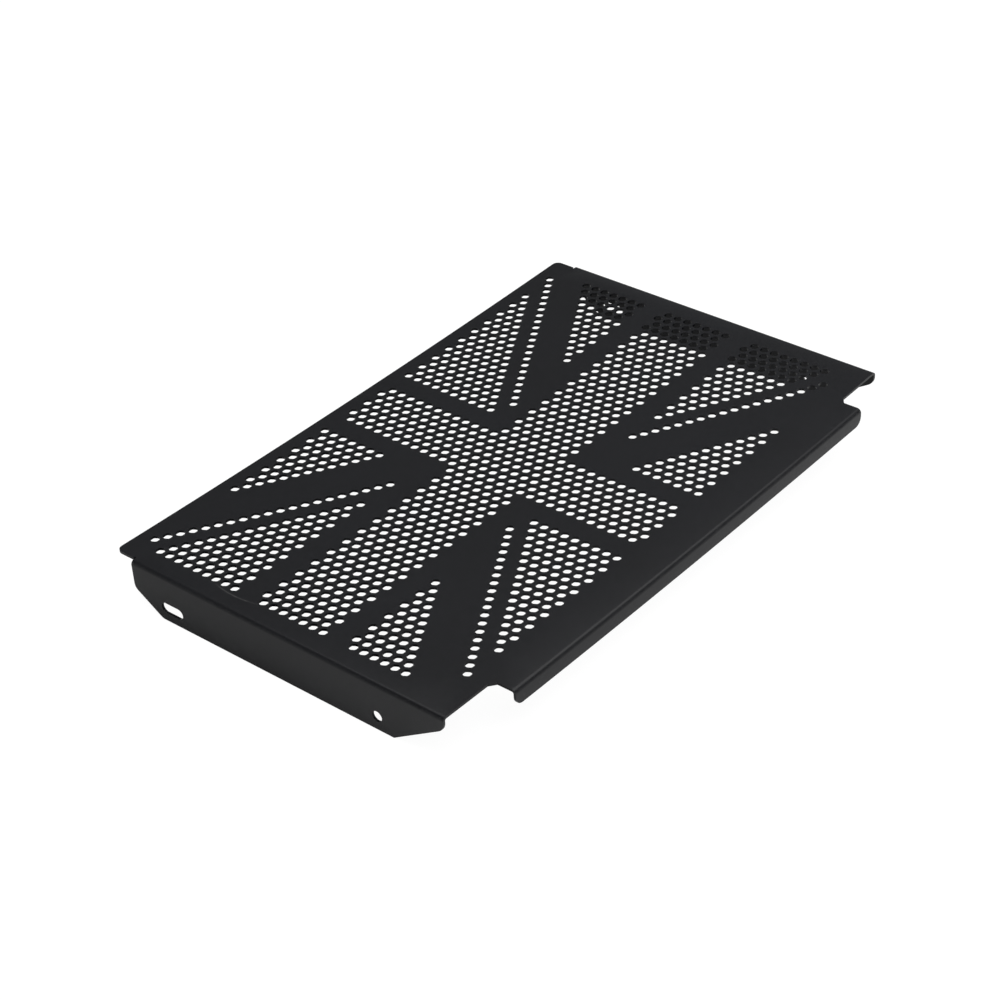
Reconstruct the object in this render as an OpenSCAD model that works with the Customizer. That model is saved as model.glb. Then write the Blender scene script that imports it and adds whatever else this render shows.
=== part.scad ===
// Motorcycle radiator guard: one sheet, cut and perforated flat, then folded down
// along three edges. X runs along the guard, Y across it and Z is up. The panel is on
// top, and the guard stands on the lower edges of its two end flanges at Z = 0.
// The lip is on the -Y side, and the long edge on the +Y side is plain.

/* [Sheet] */
// Thickness of the sheet
sheet_t = 1.5; // [1:0.1:2.2]
// Inside radius of every fold
fold_r = 1; // [0.6:0.1:1.6]

/* [Outline] */
// Length over the outer faces of the two end flanges
guard_length = 384; // [376:1:440]
// Width from the outer face of the lip to the plain long edge
guard_width = 248; // [244:1:280]
// Height from the lower edges of the end flanges to the top of the panel
guard_height = 29.5; // [28:0.5:40]
// Distance of the panel's free ends inside the outer faces of the end flanges
end_setback = 3; // [1:0.25:3.5]
// Radius of the two free corners on the plain long edge
corner_r = 4; // [2:0.5:6]

/* [Lip] */
// Height of the lip, from its lower edge to the top of the panel
lip_height = 9.8; // [9:0.1:14]
// Radius of the two lower corners of the lip
lip_corner_r = 5; // [2:0.5:5.5]

/* [Notches] */
// Length of the notch at each end of the lip, from the outer face of the end flange
notch_length = 37.5; // [20:0.5:50]
// Depth of each notch, from the outer face of the lip
notch_depth = 14.5; // [8:0.5:15]
// Length along the guard of the slanted edge in each notch's inner corner
notch_corner_length = 4; // [1:0.5:8]
// Depth across the guard of the slanted edge in each notch's inner corner
notch_corner_depth = 3; // [1:0.5:4]

/* [End flanges] */
// Distance from the plain long edge to the nearer end of each flange
flange_inset = 14.5; // [10:0.5:20]
// Width of the relief cut that parts each flange from the free corner beside it
relief_width = 1; // [0.6:0.1:2]
// Length by which the relief cut runs past the fold
relief_reach = 1.5; // [0.5:0.1:3]
// Slope of the slanted corners of each flange, in degrees
flange_slope = 32.5; // [25:0.5:35]
// Length along the flange of the slanted corner nearer to the plain edge
short_slant = 19.5; // [12:0.5:24]
// Length along the flange of the slanted corner nearer to the lip
long_slant = 34.5; // [28:0.5:37]
// Radius at both ends of the short slanted corner
short_slant_r = 5; // [2:0.5:6]
// Radius at the upper end of the long slanted corner
long_slant_r = 7; // [2:0.5:8]
// Radius at the lower end of the long slanted corner
foot_r = 1; // [0.5:0.5:4]

/* [Fixings] */
// Diameter of the round bolt hole in each flange
bolt_hole_d = 6.6; // [4.5:0.1:9]
// Distance of the bolt hole from the flange end beside the notch
bolt_hole_inset = 45; // [42:0.5:60]
// Width of the bolt slot in each flange
slot_width = 6.6; // [4.5:0.1:9]
// Length of the bolt slot over its round ends
slot_length = 16; // [12:0.5:24]
// Distance of the slot's middle from the flange end beside the relief cut
slot_inset = 28; // [26:0.5:40]
// Depth of the bolt hole and slot below the top of the panel
fixing_depth = 21; // [14:0.5:21.5]

/* [Perforation] */
// Distance between neighbouring holes
hole_pitch = 7; // [6.4:0.1:7]
// Diameter of each hole
hole_d = 5.4; // [3:0.1:5.8]
// Distance of the pattern's middle row from the outer face of the lip
pattern_offset = 133.2; // [130:0.1:136]
// Columns of holes on each side of the middle column
side_columns = 29; // [16:1:29]
// Half-pitch steps from the middle row to the outermost rows
side_steps = 30; // [20:1:30]
// Least distance from the outer face of an end flange to the middle of a hole
end_clearance = 14; // [8:0.5:30]
// Least distance from the plain long edge to the middle of a hole
plain_clearance = 9; // [5:0.5:30]
// Least distance from the outer face of the lip to the middle of a hole
lip_clearance = 27; // [20:0.5:40]

/* [Flag pattern] */
// Columns from the middle column to the edge of the upright bar
upright_half = 3; // [1:1:5]
// Columns left solid beside the upright bar
upright_band = 2; // [1:1:4]
// Steps from the middle row to the edge of the level bar on the plain side
level_plain_half = 6; // [3:1:8]
// Steps from the middle row to the edge of the level bar on the lip side
level_lip_half = 7; // [3:1:8]
// Steps left solid beside the level bar
level_band = 4; // [1:1:6]
// Steps from a quarter's diagonal to its single slanting line of holes
line_offset = 2; // [0:2:4]
// Steps to that line in the quarter with -X and the lip
left_lip_line_offset = 4; // [0:2:6]
// Steps across the narrow solid band beside each line
narrow_gap = 4; // [4:2:6]
// Steps across the wide solid band, in the two quarters where X and the rows agree
wide_gap = 10; // [6:2:12]
// Steps from the diagonal to the end triangle, in the other two quarters
end_gap = 6; // [4:2:8]
// Last column that a line of holes reaches on the lip side
lip_line_columns = 27; // [20:1:29]

/* [Hidden] */
$fn = 96;
hole_fn = 16;
round_lap = 0.005;
sheet_color = [0.13, 0.13, 0.14];

outer_r = fold_r + sheet_t;
half_length = guard_length / 2;
half_width = guard_width / 2;
fold_x = half_length - outer_r;
end_x = half_length - end_setback;
lip_half = half_length - notch_length;
lip_fold_y = outer_r - half_width;
notch_y = notch_depth - half_width;
flange_y = half_width - flange_inset;
fold_z = guard_height - outer_r;
fixing_z = guard_height - fixing_depth;
column_step = hole_pitch * cos(30);
row_step = hole_pitch / 2;
middle_y = pattern_offset - half_width;

// Draws its children at both ends of the guard
module both_ends() {
    children();
    mirror([1, 0, 0])
    children();
}

function unit(v) = v / norm(v);

// Takes a round of radius r off the corner that lies between two neighbours. The waste
// is what a circle leaves of a kite, whose sides run out from the circle's centre. The
// circle stands proud of the corner's two sides by round_lap, so that it crosses them.
module corner_waste(before, corner, after, r) {
    to_before = unit(before - corner);
    to_after = unit(after - corner);
    half_angle = acos(to_before * to_after) / 2;
    reach = r / tan(half_angle);
    centre = corner + unit(to_before + to_after) * r / sin(half_angle);
    difference() {
        polygon([
            centre,
            2 * (corner + reach * to_before) - centre,
            2 * corner - centre,
            2 * (corner + reach * to_after) - centre
        ]);
        translate(centre)
        circle(r + round_lap);
    }
}

// An outline from [x, y, radius] corners
module rounded_outline(corners) {
    count = len(corners);
    points = [for (corner = corners) [corner.x, corner.y]];
    difference() {
        polygon(points);
        for (i = [0 : count - 1])
            if (corners[i].z > 0)
                corner_waste(points[(i + count - 1) % count], points[i],
                             points[(i + 1) % count], corners[i].z);
    }
}

// A quarter-round fold that starts at the origin and runs up Z
module fold(length) {
    rotate_extrude(angle = 90)
    translate([fold_r, 0])
    square([sheet_t, length]);
}

// Half of the flat panel's outline, from the lip to the plain edge
right_corners = [
    [lip_half, lip_fold_y, 0],
    [lip_half, notch_y - notch_corner_depth, 0],
    [lip_half + notch_corner_length, notch_y, 0],
    [fold_x, notch_y, 0],
    [fold_x, flange_y, 0],
    [fold_x - relief_reach, flange_y, 0],
    [fold_x - relief_reach, flange_y + relief_width, 0],
    [end_x, flange_y + relief_width, 0],
    [end_x, half_width, corner_r]
];
left_corners = [
    for (i = [len(right_corners) - 1 : -1 : 0])
        [-right_corners[i].x, right_corners[i].y, right_corners[i].z]
];

// The upright and level bars are rows of holes with a solid band on each side. u counts
// columns from the middle one, and w counts half-pitch steps from the middle row
// towards the lip.
function in_upright(u) = abs(u) <= upright_half;
function in_level(w) = w >= -level_plain_half && w <= level_lip_half;
function in_band(u, w) =
    abs(u) <= upright_half + upright_band
    || (w >= -level_plain_half - level_band && w <= level_lip_half + level_band);

// Steps from the diagonal that runs out of the pattern's middle through each quarter
function off_diagonal(u, w) = abs(w) - abs(u);

// Where the line of holes lies in a quarter, and where the two triangles of holes
// begin: one beside the upright bar and one towards the guard's end
function line_at(u, w) = u < 0 && w > 0 ? left_lip_line_offset : line_offset;
function upright_triangle_from(u, w) = line_at(u, w) + (u * w > 0 ? wide_gap : narrow_gap);
function end_triangle_from(u, w) = u * w > 0 ? line_at(u, w) - narrow_gap : -end_gap;

function on_line(u, w) =
    off_diagonal(u, w) == line_at(u, w) && (w < 0 || abs(u) <= lip_line_columns);
function in_triangle(u, w) =
    off_diagonal(u, w) <= end_triangle_from(u, w)
    || off_diagonal(u, w) >= upright_triangle_from(u, w);

// The line in the quarter with +X and the plain edge runs one hole into the solid band
function is_line_tip(u, w) = on_line(u, w) && u > 0 && w == -level_plain_half - level_band;

function is_hole(u, w) =
    in_upright(u) || in_level(w) || is_line_tip(u, w)
    || (!in_band(u, w) && (on_line(u, w) || in_triangle(u, w)));

// A hole is made only where it keeps clear of the folds and of the plain edge
function has_room(x, y) =
    abs(x) <= half_length - end_clearance
    && y <= half_width - plain_clearance && y >= lip_clearance - half_width;

module perforation() {
    for (u = [-side_columns : side_columns])
        for (w = [-side_steps : side_steps]) {
            x = u * column_step;
            y = middle_y - w * row_step;
            if ((u + w) % 2 == 0 && is_hole(u, w) && has_room(x, y))
                translate([x, y])
                circle(d = hole_d, $fn = hole_fn);
        }
}

module panel() {
    translate([0, 0, guard_height - sheet_t])
    linear_extrude(sheet_t)
    difference() {
        rounded_outline(concat(right_corners, left_corners));
        perforation();
    }
}

module slot() {
    end_offset = (slot_length - slot_width) / 2;
    square([2 * end_offset, slot_width], center = true);
    for (side = [-1, 1])
        translate([side * end_offset, 0])
        circle(d = slot_width);
}

// The flange's outline, drawn with Y to the right and Z up
module flange_outline() {
    short_rise = short_slant * tan(flange_slope);
    long_rise = long_slant * tan(flange_slope);
    long_limit = (fold_z - long_rise) * tan(45 + flange_slope / 2);
    rounded_outline([
        [flange_y, fold_z, 0],
        [flange_y, short_rise, short_slant_r],
        [flange_y - short_slant, 0, short_slant_r],
        [notch_y + long_slant, 0, foot_r],
        [notch_y, long_rise, min(long_slant_r, long_limit)],
        [notch_y, fold_z, 0]
    ]);
}

module end_flange() {
    translate([fold_x, flange_y, fold_z])
    rotate([90, 0, 0])
    fold(flange_y - notch_y);
    translate([half_length - sheet_t, 0, 0])
    rotate([90, 0, 90])
    linear_extrude(sheet_t)
    difference() {
        flange_outline();
        translate([notch_y + bolt_hole_inset, fixing_z])
        circle(d = bolt_hole_d);
        translate([flange_y - slot_inset, fixing_z])
        slot();
    }
}

// The lip's upright face, drawn with X to the right and Z up
module lip_outline() {
    lip_foot = guard_height - lip_height;
    rounded_outline([
        [lip_half, fold_z, 0],
        [-lip_half, fold_z, 0],
        [-lip_half, lip_foot, lip_corner_r],
        [lip_half, lip_foot, lip_corner_r]
    ]);
}

module lip() {
    translate([lip_half, lip_fold_y, fold_z])
    rotate([90, 0, -90])
    fold(2 * lip_half);
    translate([0, sheet_t - half_width, 0])
    rotate([90, 0, 0])
    linear_extrude(sheet_t)
    lip_outline();
}

module guard() {
    color(sheet_color) {
        panel();
        lip();
        both_ends()
        end_flange();
    }
}

guard();
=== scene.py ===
# %% [markdown]
# A motorcycle radiator guard is one sheet of aluminium. It is cut and perforated while
# it is flat, then folded down along three edges and powder coated black. This lesson
# makes the shape in the same order: the flat blank, the folds and then the thickness.
# The material of the coat is made early, because the blank carries it from the start.
# The studio that the guard stands in comes last.

# %% Load the model that the sizes come from
import math
import bmesh
import bpy
from mathutils import Matrix, Vector


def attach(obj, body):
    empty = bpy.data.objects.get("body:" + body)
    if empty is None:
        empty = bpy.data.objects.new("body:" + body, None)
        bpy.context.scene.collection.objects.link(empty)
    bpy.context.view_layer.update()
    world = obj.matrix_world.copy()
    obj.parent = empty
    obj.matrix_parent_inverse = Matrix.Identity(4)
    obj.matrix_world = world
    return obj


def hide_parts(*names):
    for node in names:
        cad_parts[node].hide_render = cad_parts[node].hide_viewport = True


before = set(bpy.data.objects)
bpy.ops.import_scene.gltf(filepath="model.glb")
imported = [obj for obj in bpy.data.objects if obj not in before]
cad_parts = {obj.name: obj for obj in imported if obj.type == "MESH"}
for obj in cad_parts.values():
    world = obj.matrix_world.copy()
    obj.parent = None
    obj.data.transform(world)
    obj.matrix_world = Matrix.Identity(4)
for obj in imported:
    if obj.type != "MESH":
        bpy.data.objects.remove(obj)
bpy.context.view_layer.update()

# %% [markdown]
# The guard stands on the lower edges of its end flanges. X runs along it, Y across it
# from the lip to the plain edge, and Z is up. Blender works in metres, so each size of the
# guard is written in millimetres and turned into metres once, where it is named. The
# studio is large, and its sizes are simply in metres.

# %% Sizes of the sheet
MM = 0.001
sheet_thickness = 1.5 * MM
inner_radius = 1 * MM
outer_radius = inner_radius + sheet_thickness
half_length = 192 * MM
half_width = 124 * MM
top = 29.5 * MM
free_end = half_length - 3 * MM
free_corner_radius = 4 * MM

fold_x = half_length - outer_radius
fold_z = top - outer_radius
lip_fold_y = outer_radius - half_width
lip_half = half_length - 37.5 * MM
lip_foot = top - 9.8 * MM
lip_corner_radius = 5 * MM
notch_y = 14.5 * MM - half_width
notch_corner = Vector((4 * MM, 3 * MM))

# %% Sizes of the end flanges
flange_y = half_width - 14.5 * MM
relief_width = 1 * MM
relief_x = fold_x - 1.5 * MM
slant = math.tan(math.radians(32.5))
short_slant = 19.5 * MM
long_slant = 34.5 * MM
short_slant_radius = 5 * MM
long_slant_radius = 7 * MM
foot_radius = 1 * MM
bolt_radius = 3.3 * MM
bolt_y = notch_y + 45 * MM
slot_y = flange_y - 28 * MM
slot_length = 16 * MM
slot_reach = slot_length / 2 - bolt_radius
fixing_z = top - 21 * MM
print("flange from y", round(notch_y, 4), "to", round(flange_y, 4))

# %% [markdown]
# The holes lie on a lattice of equilateral triangles. They leave an upright bar, a level
# bar and slanting bands, like the crosses and diagonals of a flag. A short rule says
# which places on the lattice hold a hole, so no list of places is needed. A column is
# counted from the middle, and a step is half a pitch, counted towards the lip. The two
# bars are full of holes, with a solid band on each side. Each quarter between them has a
# slanting line of holes, and a triangle of holes on either side of that line.

# %% Sizes of the perforation
pitch = 7 * MM
hole_across_flats = 5.2 * MM
hole_corner_radius = 1.3 * MM
coat_thickness = 0.08 * MM
middle_y = 9.2 * MM

# %% Columns and steps of the pattern
side_columns = 29
side_steps = 30
upright_half = 3
upright_band = 2
level_plain_half = 6
level_lip_half = 7
level_band = 4
line_offset = 2
left_lip_line_offset = 4
narrow_gap = 4
wide_gap = 10
end_gap = 6
lip_line_columns = 27

# %% The rule for the perforation
def in_bars(column, step):
    return abs(column) <= upright_half or -level_plain_half <= step <= level_lip_half


def in_bars_or_bands(column, step):
    in_upright = abs(column) <= upright_half + upright_band
    in_level = -level_plain_half - level_band <= step <= level_lip_half + level_band
    return in_upright or in_level


def line_at(column, step):
    """How many steps past its quarter's diagonal a slanting line lies."""
    return left_lip_line_offset if column < 0 < step else line_offset


def on_line(column, step):
    reaches_tip = step < 0 or abs(column) <= lip_line_columns
    return abs(step) - abs(column) == line_at(column, step) and reaches_tip


def is_line_start(column, step):
    """The first hole of one line, which lies a place inside the solid band."""
    return on_line(column, step) and column > 0 and step == -level_plain_half - level_band


def in_triangle(column, step):
    past_diagonal = abs(step) - abs(column)
    line = line_at(column, step)
    if column * step > 0:
        return past_diagonal <= line - narrow_gap or past_diagonal >= line + wide_gap
    return past_diagonal <= -end_gap or past_diagonal >= line + narrow_gap


def has_hole(column, step):
    if (column + step) % 2:
        return False
    if in_bars(column, step) or is_line_start(column, step):
        return True
    if in_bars_or_bands(column, step):
        return False
    return on_line(column, step) or in_triangle(column, step)


hole_centres = [
    Vector((column * pitch * math.cos(math.radians(30)), middle_y - step * pitch / 2))
    for column in range(-side_columns, side_columns + 1)
    for step in range(-side_steps, side_steps + 1)
    if has_hole(column, step)
]
print("holes in the panel:", len(hole_centres))

# %% [markdown]
# An outline is a loop of points. Corners that the press tool leaves round become short
# arcs, and a long straight edge is divided, so that the sheet can sag a little later.

# %% Helpers that draw outlines
longest_step = 8 * MM
arc_steps = 6


def arc_points(centre, start, sweep, steps):
    """Points on an arc, from the spoke start and through the angle sweep."""
    return [
        centre + Matrix.Rotation(sweep * i / steps, 2) @ start for i in range(steps + 1)
    ]


def rounded(corners):
    """A closed outline from (x, y, radius) corners, with true arcs where radius > 0."""
    loop = []
    for i, (x, y, radius) in enumerate(corners):
        corner = Vector((x, y))
        if not radius:
            loop.append(corner)
            continue
        before = (Vector(corners[i - 1][:2]) - corner).normalized()
        after = (Vector(corners[(i + 1) % len(corners)][:2]) - corner).normalized()
        half = before.angle(after) / 2
        centre = corner + (before + after).normalized() * radius / math.sin(half)
        start = corner + before * radius / math.tan(half) - centre
        turns_left = before.x * after.y - before.y * after.x < 0
        sweep = (math.pi - 2 * half) * (1 if turns_left else -1)
        loop += arc_points(centre, start, sweep, arc_steps)
    return loop


def divided(a, b):
    """Points from a up to b, but without b, no further apart than the longest step."""
    pieces = max(1, math.ceil((b - a).length / longest_step - 1e-6))
    return [a.lerp(b, i / pieces) for i in range(pieces)]


def divided_loop(loop):
    points = []
    for i, point in enumerate(loop):
        points += divided(point, loop[(i + 1) % len(loop)])
    return points


def mirrored(loop):
    return [Vector((-point.x, point.y)) for point in reversed(loop)]


# %% [markdown]
# The blank is drawn as it is before folding. Each fold takes up a strip of sheet as long
# as its arc, so the flanges and the lip lie that far beyond the panel. The strips are
# left out here, because they get their own even rows of faces.

# %% The outlines of the flat blank
fold_arc = outer_radius * math.pi / 2
flange_start = fold_x + fold_arc
lip_start = lip_fold_y - fold_arc

right_side = [
    (lip_half, lip_fold_y, 0),
    (lip_half, notch_y - notch_corner.y, 0),
    (lip_half + notch_corner.x, notch_y, 0),
    (fold_x, notch_y, 0),
    (fold_x, flange_y, 0),
    (relief_x, flange_y, 0),
    (relief_x, flange_y + relief_width, 0),
    (free_end, flange_y + relief_width, 0),
    (free_end, half_width, free_corner_radius),
]
left_side = [(-x, y, radius) for x, y, radius in reversed(right_side)]
panel_loop = divided_loop(rounded(right_side + left_side))


def down_flange(z):
    """Where a height on the folded flange lies on the flat blank."""
    return flange_start + fold_z - z


flange_loop = rounded([
    (flange_start, notch_y, 0),
    (down_flange(long_slant * slant), notch_y, long_slant_radius),
    (down_flange(0), notch_y + long_slant, foot_radius),
    (down_flange(0), flange_y - short_slant, short_slant_radius),
    (down_flange(short_slant * slant), flange_y, short_slant_radius),
    (flange_start, flange_y, 0),
])
flange_top = divided(flange_loop[-1], flange_loop[0])
flange_loop = flange_loop[:-1] + flange_top

lip_reach = lip_start - (fold_z - lip_foot)
lip_loop = divided_loop(rounded([
    (-lip_half, lip_start, 0),
    (-lip_half, lip_reach, lip_corner_radius),
    (lip_half, lip_reach, lip_corner_radius),
    (lip_half, lip_start, 0),
]))
print("points around panel, flange and lip:", len(panel_loop), len(flange_loop), len(lip_loop))

# %% The fixing holes of a flange
round_steps = 32
bolt_loop = arc_points(
    Vector((down_flange(fixing_z), bolt_y)), Vector((bolt_radius, 0)), math.tau, round_steps
)[:-1]
slot_loop = [
    point
    for way in (1, -1)
    for point in arc_points(
        Vector((down_flange(fixing_z), slot_y + way * slot_reach)),
        Vector((way * bolt_radius, 0)),
        math.pi,
        round_steps // 2,
    )
]
right_loops = [flange_loop, bolt_loop, slot_loop]
blank_loops = [panel_loop, lip_loop] + right_loops + [mirrored(loop) for loop in right_loops]
print("outlines in the blank:", len(blank_loops))

# %% [markdown]
# Geometry Nodes punch the holes. The object that carries the modifier has the outlines
# as loops of edges, and one loose point for the middle of each hole. The tree draws one
# six-sided hole with rounded corners, puts a copy on every loose point, joins the copies
# to the outlines and fills what lies between them. A change to the hole is then a change
# to one input, and no face is cut by hand. The coat later narrows each hole a little, so
# the holes are drawn as wide as they are with their coat.

# %% Build the tree that perforates the blank
def add_input(tree, name, kind, default, lowest):
    """A named input of the tree, whose identifier is used to set it on a modifier."""
    socket = tree.interface.new_socket(name=name, in_out="INPUT", socket_type=kind)
    if default is not None:
        socket.default_value = default
        socket.min_value = lowest
    return socket.identifier


def build_perforating_tree(finish):
    tree = bpy.data.node_groups.new("perforate_blank", "GeometryNodeTree")
    tree.is_modifier = True
    tree.interface.new_socket(name="Blank", in_out="OUTPUT", socket_type="NodeSocketGeometry")
    keys = {
        "outlines": add_input(tree, "Outlines and Hole Centres", "NodeSocketGeometry", None, 0),
        "across": add_input(tree, "Across Flats", "NodeSocketFloat", 0.005, 0.0),
        "corner": add_input(tree, "Corner Radius", "NodeSocketFloat", 0.001, 0.0),
        "steps": add_input(tree, "Corner Steps", "NodeSocketInt", 2, 1),
    }
    add = tree.nodes.new
    link = tree.links.new
    source = add("NodeGroupInput")
    result = add("NodeGroupOutput")

    across_corners = add("ShaderNodeMath")
    across_corners.operation = "DIVIDE"
    across_corners.inputs[1].default_value = 2 * math.cos(math.radians(30))
    link(source.outputs["Across Flats"], across_corners.inputs[0])

    six_sides = add("GeometryNodeCurvePrimitiveCircle")
    six_sides.inputs["Resolution"].default_value = 6
    link(across_corners.outputs[0], six_sides.inputs["Radius"])

    round_corners = add("GeometryNodeFilletCurve")
    round_corners.mode = "POLY"
    link(six_sides.outputs["Curve"], round_corners.inputs["Curve"])
    link(source.outputs["Corner Steps"], round_corners.inputs["Count"])
    link(source.outputs["Corner Radius"], round_corners.inputs["Radius"])

    is_centre = add("GeometryNodeInputNamedAttribute")
    is_centre.data_type = "BOOLEAN"
    is_centre.inputs["Name"].default_value = "hole_centre"

    punch = add("GeometryNodeInstanceOnPoints")
    link(source.outputs[0], punch.inputs["Points"])
    link(is_centre.outputs["Attribute"], punch.inputs["Selection"])
    link(round_corners.outputs["Curve"], punch.inputs["Instance"])

    outlines = add("GeometryNodeMeshToCurve")
    link(source.outputs[0], outlines.inputs["Mesh"])

    join = add("GeometryNodeJoinGeometry")
    link(punch.outputs["Instances"], join.inputs[0])
    link(outlines.outputs["Curve"], join.inputs[0])

    loose = add("GeometryNodeRealizeInstances")
    link(join.outputs[0], loose.inputs[0])

    fill = add("GeometryNodeFillCurve")
    fill.mode = "TRIANGLES"
    link(loose.outputs[0], fill.inputs["Curve"])

    whole = add("GeometryNodeRealizeInstances")
    link(fill.outputs[0], whole.inputs[0])

    coat = add("GeometryNodeSetMaterial")
    coat.inputs["Material"].default_value = finish
    link(whole.outputs[0], coat.inputs["Geometry"])
    link(coat.outputs["Geometry"], result.inputs[0])
    return tree, keys


# %% [markdown]
# The coat is black polyester powder, baked on. It is satin and very slightly bluish, and
# it flows into a faint orange peel with a fine grain. Noise on the object's own
# coordinates gives both, as a change of roughness and colour and as a shallow bump, at
# the size that the real coat shows.

# %% Helpers for the nodes of the coat
def add_noise(tree, place, scale, detail):
    texture = tree.nodes.new("ShaderNodeTexNoise")
    texture.inputs["Scale"].default_value = scale
    texture.inputs["Detail"].default_value = detail
    tree.links.new(place, texture.inputs["Vector"])
    return texture.outputs["Fac"]


def add_ramp(tree, value, at_start, at_stop, start=0.3, stop=0.7):
    """An even change from one number to another. Most noise lies from 0.3 to 0.7."""
    spread = tree.nodes.new("ShaderNodeMapRange")
    spread.inputs["From Min"].default_value = start
    spread.inputs["From Max"].default_value = stop
    spread.inputs["To Min"].default_value = at_start
    spread.inputs["To Max"].default_value = at_stop
    tree.links.new(value, spread.inputs["Value"])
    return spread.outputs["Result"]


def add_mix(tree, factor, first, second):
    """A colour between two others, where the first is a colour or a socket."""
    mix = tree.nodes.new("ShaderNodeMix")
    mix.data_type = "RGBA"
    mix.inputs["B"].default_value = second
    tree.links.new(factor, mix.inputs["Factor"])
    if isinstance(first, tuple):
        mix.inputs["A"].default_value = first
    else:
        tree.links.new(first, mix.inputs["A"])
    return mix.outputs["Result"]


def add_distance(tree, place, point, height_weight=0):
    """How far the coat lies from a point on the panel, where height counts by a weight."""
    offset = tree.nodes.new("ShaderNodeVectorMath")
    offset.operation = "MULTIPLY_ADD"
    offset.inputs[1].default_value = (1, 1, height_weight)
    offset.inputs[2].default_value = (-point.x, -point.y, -height_weight * top)
    tree.links.new(place, offset.inputs[0])
    length = tree.nodes.new("ShaderNodeVectorMath")
    length.operation = "LENGTH"
    tree.links.new(offset.outputs["Vector"], length.inputs[0])
    return length.outputs["Value"]


# %% [markdown]
# Beside one end fold the coat has a fine pale scuff. It is an arc, so it is where the coat
# lies one radius from a centre on the panel. It fades away from its middle and is uneven.
# Height counts tenfold in the fade, so that the inside of the sheet has no scuff.

# %% The scuff
scuff_centre = Vector((-121.2 * MM, 43.5 * MM))
scuff_radius = 60 * MM
scuff_half_width = 0.4 * MM
scuff_middle = Vector((-181.2 * MM, 43 * MM))
scuff_fade_start = 10 * MM
scuff_fade_end = 17 * MM
scuff_height_weight = 10
pale_scuff = (0.045, 0.045, 0.046, 1)


def add_scuff(tree, place, colour):
    """The colour of the coat, with the scuff on it."""
    on_arc = tree.nodes.new("ShaderNodeMath")
    on_arc.operation = "COMPARE"
    on_arc.inputs[1].default_value = scuff_radius
    on_arc.inputs[2].default_value = scuff_half_width
    tree.links.new(add_distance(tree, place, scuff_centre), on_arc.inputs[0])
    from_middle = add_distance(tree, place, scuff_middle, scuff_height_weight)
    near_middle = add_ramp(tree, from_middle, 1.0, 0.0, scuff_fade_start, scuff_fade_end)
    unevenness = add_ramp(tree, add_noise(tree, place, scale=260, detail=1), 0.3, 1.0)
    scuffed = on_arc.outputs[0]
    for part in (near_middle, unevenness):
        product = tree.nodes.new("ShaderNodeMath")
        product.operation = "MULTIPLY"
        tree.links.new(scuffed, product.inputs[0])
        tree.links.new(part, product.inputs[1])
        scuffed = product.outputs[0]
    return add_mix(tree, scuffed, colour, pale_scuff)


# %% The powder coat
deep_black = (0.0040, 0.0043, 0.0056, 1)
soft_black = (0.0055, 0.0059, 0.0077, 1)
grain_share = 0.35
bump_height = 0.03 * MM


def build_powder_coat():
    coat = bpy.data.materials.new("powder_coat_black")
    coat.use_nodes = True
    tree = coat.node_tree
    nodes = tree.nodes
    link = tree.links.new
    shader = nodes["Principled BSDF"]
    shader.inputs["Specular IOR Level"].default_value = 0.26
    place = nodes.new("ShaderNodeTexCoord").outputs["Object"]
    cloud = add_noise(tree, place, scale=18, detail=3)
    peel = add_noise(tree, place, scale=420, detail=2)
    grain = add_noise(tree, place, scale=2600, detail=2)

    colour = add_mix(tree, add_ramp(tree, cloud, 0.0, 1.0), deep_black, soft_black)
    link(add_scuff(tree, place, colour), shader.inputs["Base Color"])
    link(add_ramp(tree, peel, 0.30, 0.35), shader.inputs["Roughness"])

    heights = nodes.new("ShaderNodeMath")
    heights.operation = "MULTIPLY_ADD"
    heights.inputs[1].default_value = grain_share
    link(grain, heights.inputs[0])
    link(peel, heights.inputs[2])
    bump = nodes.new("ShaderNodeBump")
    bump.inputs["Strength"].default_value = 0.1
    bump.inputs["Distance"].default_value = bump_height
    link(heights.outputs[0], bump.inputs["Height"])
    link(bump.outputs["Normal"], shader.inputs["Normal"])
    return coat


powder_coat = build_powder_coat()
print("nodes in the coat:", len(powder_coat.node_tree.nodes))

# %% Punch the flat blank
def mesh_of_outlines(loops, centres):
    """Loops of edges, and loose points that are marked as hole centres."""
    points, edges = [], []
    for loop in loops:
        first = len(points)
        points += loop
        edges += [(first + i, first + (i + 1) % len(loop)) for i in range(len(loop))]
    marks = [False] * len(points) + [True] * len(centres)
    points = points + centres
    mesh = bpy.data.meshes.new("blank_outlines")
    mesh.from_pydata([(p.x, p.y, 0) for p in points], edges, [])
    mesh.attributes.new("hole_centre", "BOOLEAN", "POINT").data.foreach_set("value", marks)
    return mesh


outlines = bpy.data.objects.new("blank", mesh_of_outlines(blank_loops, hole_centres))
bpy.context.scene.collection.objects.link(outlines)
tree, keys = build_perforating_tree(powder_coat)
perforate = outlines.modifiers.new("perforate", "NODES")
perforate.node_group = tree
perforate[keys["across"]] = hole_across_flats - 2 * coat_thickness
perforate[keys["corner"]] = hole_corner_radius - coat_thickness
perforate[keys["steps"]] = 2
depsgraph = bpy.context.evaluated_depsgraph_get()
blank = bpy.data.meshes.new_from_object(outlines.evaluated_get(depsgraph))
bpy.data.objects.remove(outlines)
print("blank:", len(blank.vertices), "points,", len(blank.polygons), "faces")

# %% [markdown]
# Now the sheet is folded. The three fold strips are added between the panel and what
# hangs from it, with enough rows for a smooth bend. Then every point past a fold line is
# carried round the fold, just as a press brake does it, so the sheet keeps its length.

# %% Add the fold strips
fold_rows = 6
weld_distance = 0.01 * MM


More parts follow.
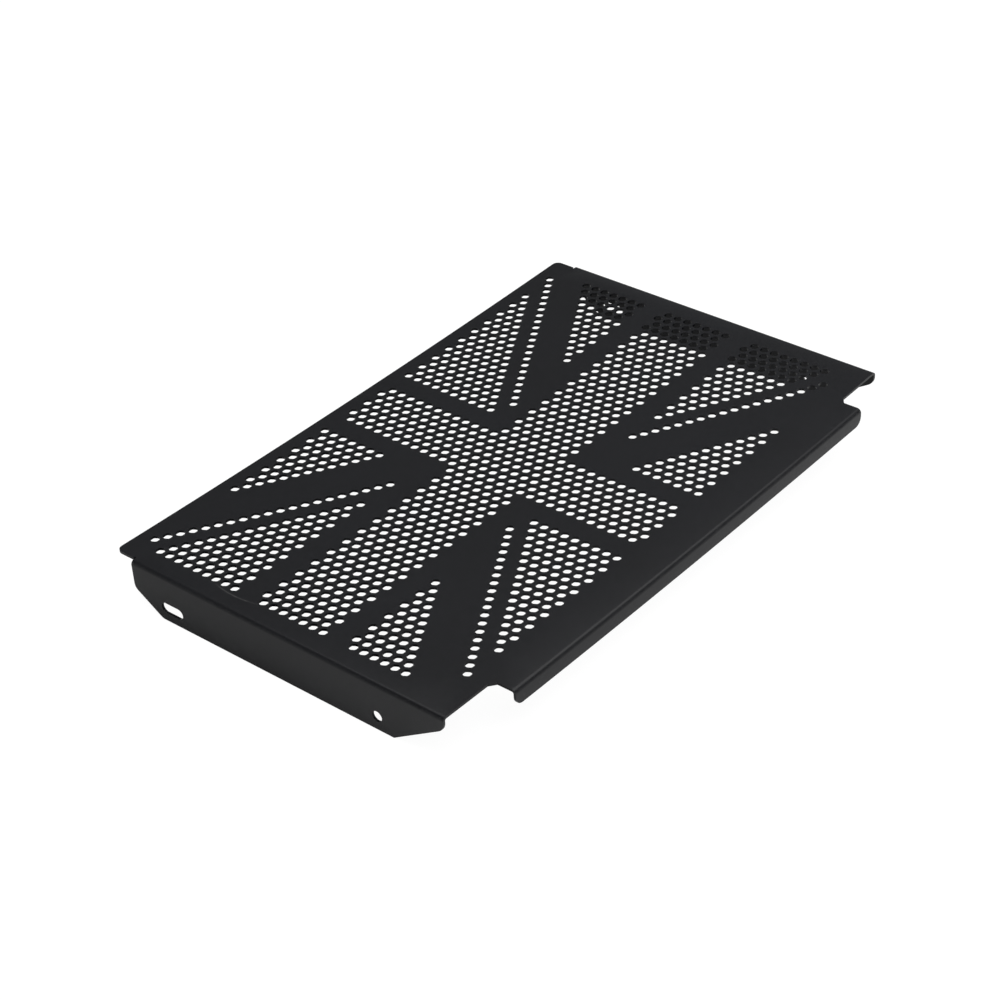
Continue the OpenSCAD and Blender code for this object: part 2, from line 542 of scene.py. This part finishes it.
def add_strip(mesh, start, end, outwards):
    """Rows of faces across a fold, between the panel's edge and the hanging part."""
    line = divided(start, end) + [end]
    rows = [
        [mesh.verts.new((*(point + outwards * fold_arc * row / fold_rows), 0)) for point in line]
        for row in range(fold_rows + 1)
    ]
    for near, far in zip(rows, rows[1:]):
        for i in range(len(line) - 1):
            mesh.faces.new((near[i], near[i + 1], far[i + 1], far[i]))


sheet = bmesh.new()
sheet.from_mesh(blank)
for side in (-1, 1):
    add_strip(
        sheet,
        Vector((side * fold_x, flange_y)),
        Vector((side * fold_x, notch_y)),
        Vector((side, 0)),
    )
add_strip(sheet, Vector((-lip_half, lip_fold_y)), Vector((lip_half, lip_fold_y)), Vector((0, -1)))
bmesh.ops.remove_doubles(sheet, verts=sheet.verts, dist=weld_distance)
for face in sheet.faces:
    face.normal_update()
    if face.normal.z < 0:
        face.normal_flip()
open_edges = sum(1 for edge in sheet.edges if len(edge.link_faces) == 1)
print("faces with the strips:", len(sheet.faces), "open edges:", open_edges)

# %% [markdown]
# The real panel isn't quite flat. Between its flanges it hangs about 3 mm low in the
# middle, which is enough to bend the long edges in the picture. The sag is largest at the
# middle of the length and nothing at the end folds, so the flanges stay upright.

# %% Fold the blank and let the panel sag
panel_sag = 3.4 * MM
edge_lift = 0.8 * MM


def folded(distance):
    """How far out and down a point lies, a given way past the start of a fold."""
    angle = min(distance / fold_arc, 1) * math.pi / 2
    straight = max(distance - fold_arc, 0)
    return outer_radius * math.sin(angle), outer_radius * (1 - math.cos(angle)) + straight


def sag_at(x, y):
    """How low the sheet hangs: least at the ends and a little less at the long edges."""
    along = max(0.0, 1 - (x / fold_x) ** 2)
    return along * (panel_sag - edge_lift * (y / half_width) ** 2)


for vert in sheet.verts:
    x, y = vert.co.x, vert.co.y
    drop = 0
    if abs(x) > fold_x and y < flange_y + relief_width / 2:
        out, drop = folded(abs(x) - fold_x)
        x = math.copysign(fold_x + out, x)
    elif y < lip_fold_y:
        out, drop = folded(lip_fold_y - y)
        y = lip_fold_y - out
    vert.co = (x, y, top - drop - sag_at(x, y))

skin = bpy.data.meshes.new("guard_sheet")
sheet.to_mesh(skin)
sheet.free()
skin.materials.clear()
skin.materials.append(powder_coat)
print("sag in the middle in metres:", sag_at(0, 0))

# %% [markdown]
# So far there is only the outer skin. Solidify gives it the thickness of the sheet on
# the inside, and closes the rims, which makes the walls of all the holes at once. A very
# narrow bevel then takes the sharpness off the rims, as the coat does on the real one.

# %% Give the sheet its thickness
guard = bpy.data.objects.new("guard_sheet", skin)
bpy.context.scene.collection.objects.link(guard)
thicken = guard.modifiers.new("thickness", "SOLIDIFY")
thicken.thickness = sheet_thickness
thicken.offset = -1
thicken.use_even_offset = True
soften = guard.modifiers.new("soft_rims", "BEVEL")
soften.width = 0.15 * MM
soften.segments = 1
soften.limit_method = "ANGLE"
soften.angle_limit = math.radians(60)
depsgraph = bpy.context.evaluated_depsgraph_get()
solid = bpy.data.meshes.new_from_object(guard.evaluated_get(depsgraph))
guard.modifiers.clear()
guard.data = solid
solid.name = "guard_sheet"
for face in solid.polygons:
    face.use_smooth = True
solid.set_sharp_from_angle(angle=math.radians(35))
triangles = sum(len(face.vertices) - 2 for face in solid.polygons)
print("guard:", len(solid.vertices), "points,", triangles, "triangles")

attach(guard, "root")
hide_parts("guard")

# %% [markdown]
# The camera stands where the photographer's did: 1.3 m from the panel, in front of the
# corner between the lip and one flange, looking down at about 35 degrees with a long lens.
# It looks at a point near the panel's middle and is rolled a little to one side. So it is
# turned to its bearing, elevation and roll, in degrees, and then moved back from there.

# %% The camera
camera_target = Vector((-34.51 * MM, -14.77 * MM, top))
camera_distance = 1.3
camera_bearing = -138.281
camera_elevation = 34.84
camera_roll = -3.629

camera_data = bpy.data.cameras.new("camera")
camera_data.lens = 86.294
camera_data.sensor_width = 36
camera_data.clip_start = 0.05
camera_data.clip_end = 200
camera = bpy.data.objects.new("camera", camera_data)
camera.matrix_world = (
    Matrix.Translation(camera_target)
    @ Matrix.Rotation(math.radians(camera_bearing + 90), 4, "Z")
    @ Matrix.Rotation(math.radians(90 - camera_elevation), 4, "X")
    @ Matrix.Rotation(math.radians(camera_roll), 4, "Z")
    @ Matrix.Translation((0, 0, camera_distance))
)
bpy.context.scene.collection.objects.link(camera)
bpy.context.scene.camera = camera
print("camera at", [round(value, 4) for value in camera.matrix_world.translation])

# %% [markdown]
# The studio is white paper that lies flat and curves up far behind. To the camera, and
# in part to the coat that mirrors it, the paper is almost its own light, so it comes out
# white while the guard's shadow still shows. In what the coat mirrors, this light fades
# out in an oval under the guard and beyond it, on the side away from the lamp. That oval
# is a painted shadow of the guard, drawn at a fixed place on the paper. The paper is plain
# and greyer there, so the upright faces mirror it a little darker near their foot.

# %% The paper
plain_grey = 0.63
shaded_grey = 0.1
glow_strength = 0.96
# The middle and half sizes, in metres, of the oval of painted shadow under the guard
painted_shadow_x = -0.08
painted_shadow_y = 0.1
painted_shadow_half_length = 0.26
painted_shadow_half_width = 0.2


def grey(value):
    return (value, value, value, 1)


def build_paper():
    paper = bpy.data.materials.new("white_paper")
    paper.use_nodes = True
    nodes = paper.node_tree.nodes
    link = paper.node_tree.links.new
    nodes.remove(nodes["Principled BSDF"])
    plain = nodes.new("ShaderNodeBsdfDiffuse")
    plain.inputs["Color"].default_value = grey(plain_grey)
    shaded = nodes.new("ShaderNodeBsdfDiffuse")
    shaded.inputs["Color"].default_value = grey(shaded_grey)
    glow = nodes.new("ShaderNodeEmission")
    glow.inputs["Strength"].default_value = glow_strength
    seen = nodes.new("ShaderNodeAddShader")
    link(shaded.outputs[0], seen.inputs[0])
    link(glow.outputs[0], seen.inputs[1])

    # A painted shadow: in what the coat mirrors, the paper's glow fades out in this oval
    place = nodes.new("ShaderNodeTexCoord")
    painted_shadow_oval = nodes.new("ShaderNodeVectorMath")
    painted_shadow_oval.operation = "MULTIPLY_ADD"
    painted_shadow_oval.inputs[1].default_value = (1 / painted_shadow_half_length, 1 / painted_shadow_half_width, 0)
    painted_shadow_oval.inputs[2].default_value = (-painted_shadow_x / painted_shadow_half_length, -painted_shadow_y / painted_shadow_half_width, 0)
    link(place.outputs["Object"], painted_shadow_oval.inputs[0])
    distance = nodes.new("ShaderNodeVectorMath")
    distance.operation = "LENGTH"
    link(painted_shadow_oval.outputs["Vector"], distance.inputs[0])
    mirrored_share = nodes.new("ShaderNodeMapRange")
    mirrored_share.inputs["From Min"].default_value = 0.6
    mirrored_share.inputs["From Max"].default_value = 1.8
    mirrored_share.inputs["To Max"].default_value = 0.8
    link(distance.outputs["Value"], mirrored_share.inputs["Value"])

    path = nodes.new("ShaderNodeLightPath")
    mirrored_part = nodes.new("ShaderNodeMath")
    mirrored_part.operation = "MULTIPLY"
    link(path.outputs["Is Glossy Ray"], mirrored_part.inputs[0])
    link(mirrored_share.outputs["Result"], mirrored_part.inputs[1])
    seen_by = path.outputs["Is Camera Ray"]
    for part in (mirrored_part.outputs[0], path.outputs["Is Transmission Ray"]):
        larger = nodes.new("ShaderNodeMath")
        larger.operation = "MAXIMUM"
        link(seen_by, larger.inputs[0])
        link(part, larger.inputs[1])
        seen_by = larger.outputs[0]
    either = nodes.new("ShaderNodeMixShader")
    link(seen_by, either.inputs["Fac"])
    link(plain.outputs[0], either.inputs[1])
    link(seen.outputs[0], either.inputs[2])
    link(either.outputs[0], nodes["Material Output"].inputs["Surface"])
    return paper


def build_backdrop(radius, height, bend, bend_rows, sides):
    """A round floor that curves up into a low wall, as one lathe-turned mesh."""
    profile = [
        (radius + bend * math.sin(a), bend * (1 - math.cos(a)))
        for a in (math.pi / 2 * i / bend_rows for i in range(bend_rows + 1))
    ]
    profile.append((radius + bend, height))
    shape = bmesh.new()
    turns = [math.tau * i / sides for i in range(sides)]
    rings = [
        [shape.verts.new((r * math.cos(turn), r * math.sin(turn), z)) for turn in turns]
        for r, z in profile
    ]
    shape.faces.new(rings[0])
    for inner, outer in zip(rings, rings[1:]):
        for i in range(sides):
            j = (i + 1) % sides
            shape.faces.new((inner[i], outer[i], outer[j], inner[j]))
    mesh = bpy.data.meshes.new("paper")
    shape.to_mesh(mesh)
    shape.free()
    for face in mesh.polygons:
        face.use_smooth = True
    mesh.materials.append(build_paper())
    backdrop = bpy.data.objects.new("paper", mesh)
    bpy.context.scene.collection.objects.link(backdrop)
    return backdrop


backdrop = build_backdrop(radius=18, height=6, bend=2, bend_rows=12, sides=96)
print("paper:", len(backdrop.data.polygons), "faces")

# %% [markdown]
# One wide round lamp hangs above, and the room adds a dim, even grey. The panel mirrors
# only the grey, the upper half of each fold mirrors the lamp, and the upright faces mirror
# the paper. Two grey cards stand to the left and right of the picture. They are mirrored
# in the lower half of each fold, where they draw the thin dark line that sets it off.

# %% The room and the lamp
room = bpy.data.worlds.new("room")
room.use_nodes = True
background = room.node_tree.nodes["Background"]
background.inputs["Color"].default_value = grey(1)
background.inputs["Strength"].default_value = 0.18
bpy.context.scene.world = room

lamp_data = bpy.data.lights.new("overhead", "AREA")
lamp_data.shape = "DISK"
lamp_data.size = 2.7
lamp_data.energy = 43
lamp = bpy.data.objects.new("overhead", lamp_data)
lamp.location = (0.3, -0.35, 1.6)
bpy.context.scene.collection.objects.link(lamp)
bpy.context.scene.view_settings.view_transform = "Standard"
print("lamp:", round(lamp_data.size, 1), "m wide,", round(lamp.location.z, 1), "m up")

# %% The two grey cards
grey_card = bpy.data.materials.new("grey_card")
grey_card.use_nodes = True
card_shader = grey_card.node_tree.nodes["Principled BSDF"]
card_shader.inputs["Base Color"].default_value = grey(0.68)
card_shader.inputs["Roughness"].default_value = 0.9


def add_card(name, bearing, distance, width, height):
    """A card that stands on the paper and faces the guard, at a bearing in degrees."""
    left, right = -width / 2, width / 2
    corners = [
        (distance, left, 0),
        (distance, left, height),
        (distance, right, height),
        (distance, right, 0),
    ]
    mesh = bpy.data.meshes.new(name)
    mesh.from_pydata(corners, [], [(0, 1, 2, 3)])
    mesh.transform(Matrix.Rotation(math.radians(bearing), 4, "Z"))
    mesh.materials.append(grey_card)
    card = bpy.data.objects.new(name, mesh)
    card.visible_camera = False
    bpy.context.scene.collection.objects.link(card)


add_card("card_beyond_lip", bearing=-52, distance=1.3, width=1.6, height=0.8)
add_card("card_beyond_flange", bearing=147, distance=1.3, width=1.6, height=0.8)
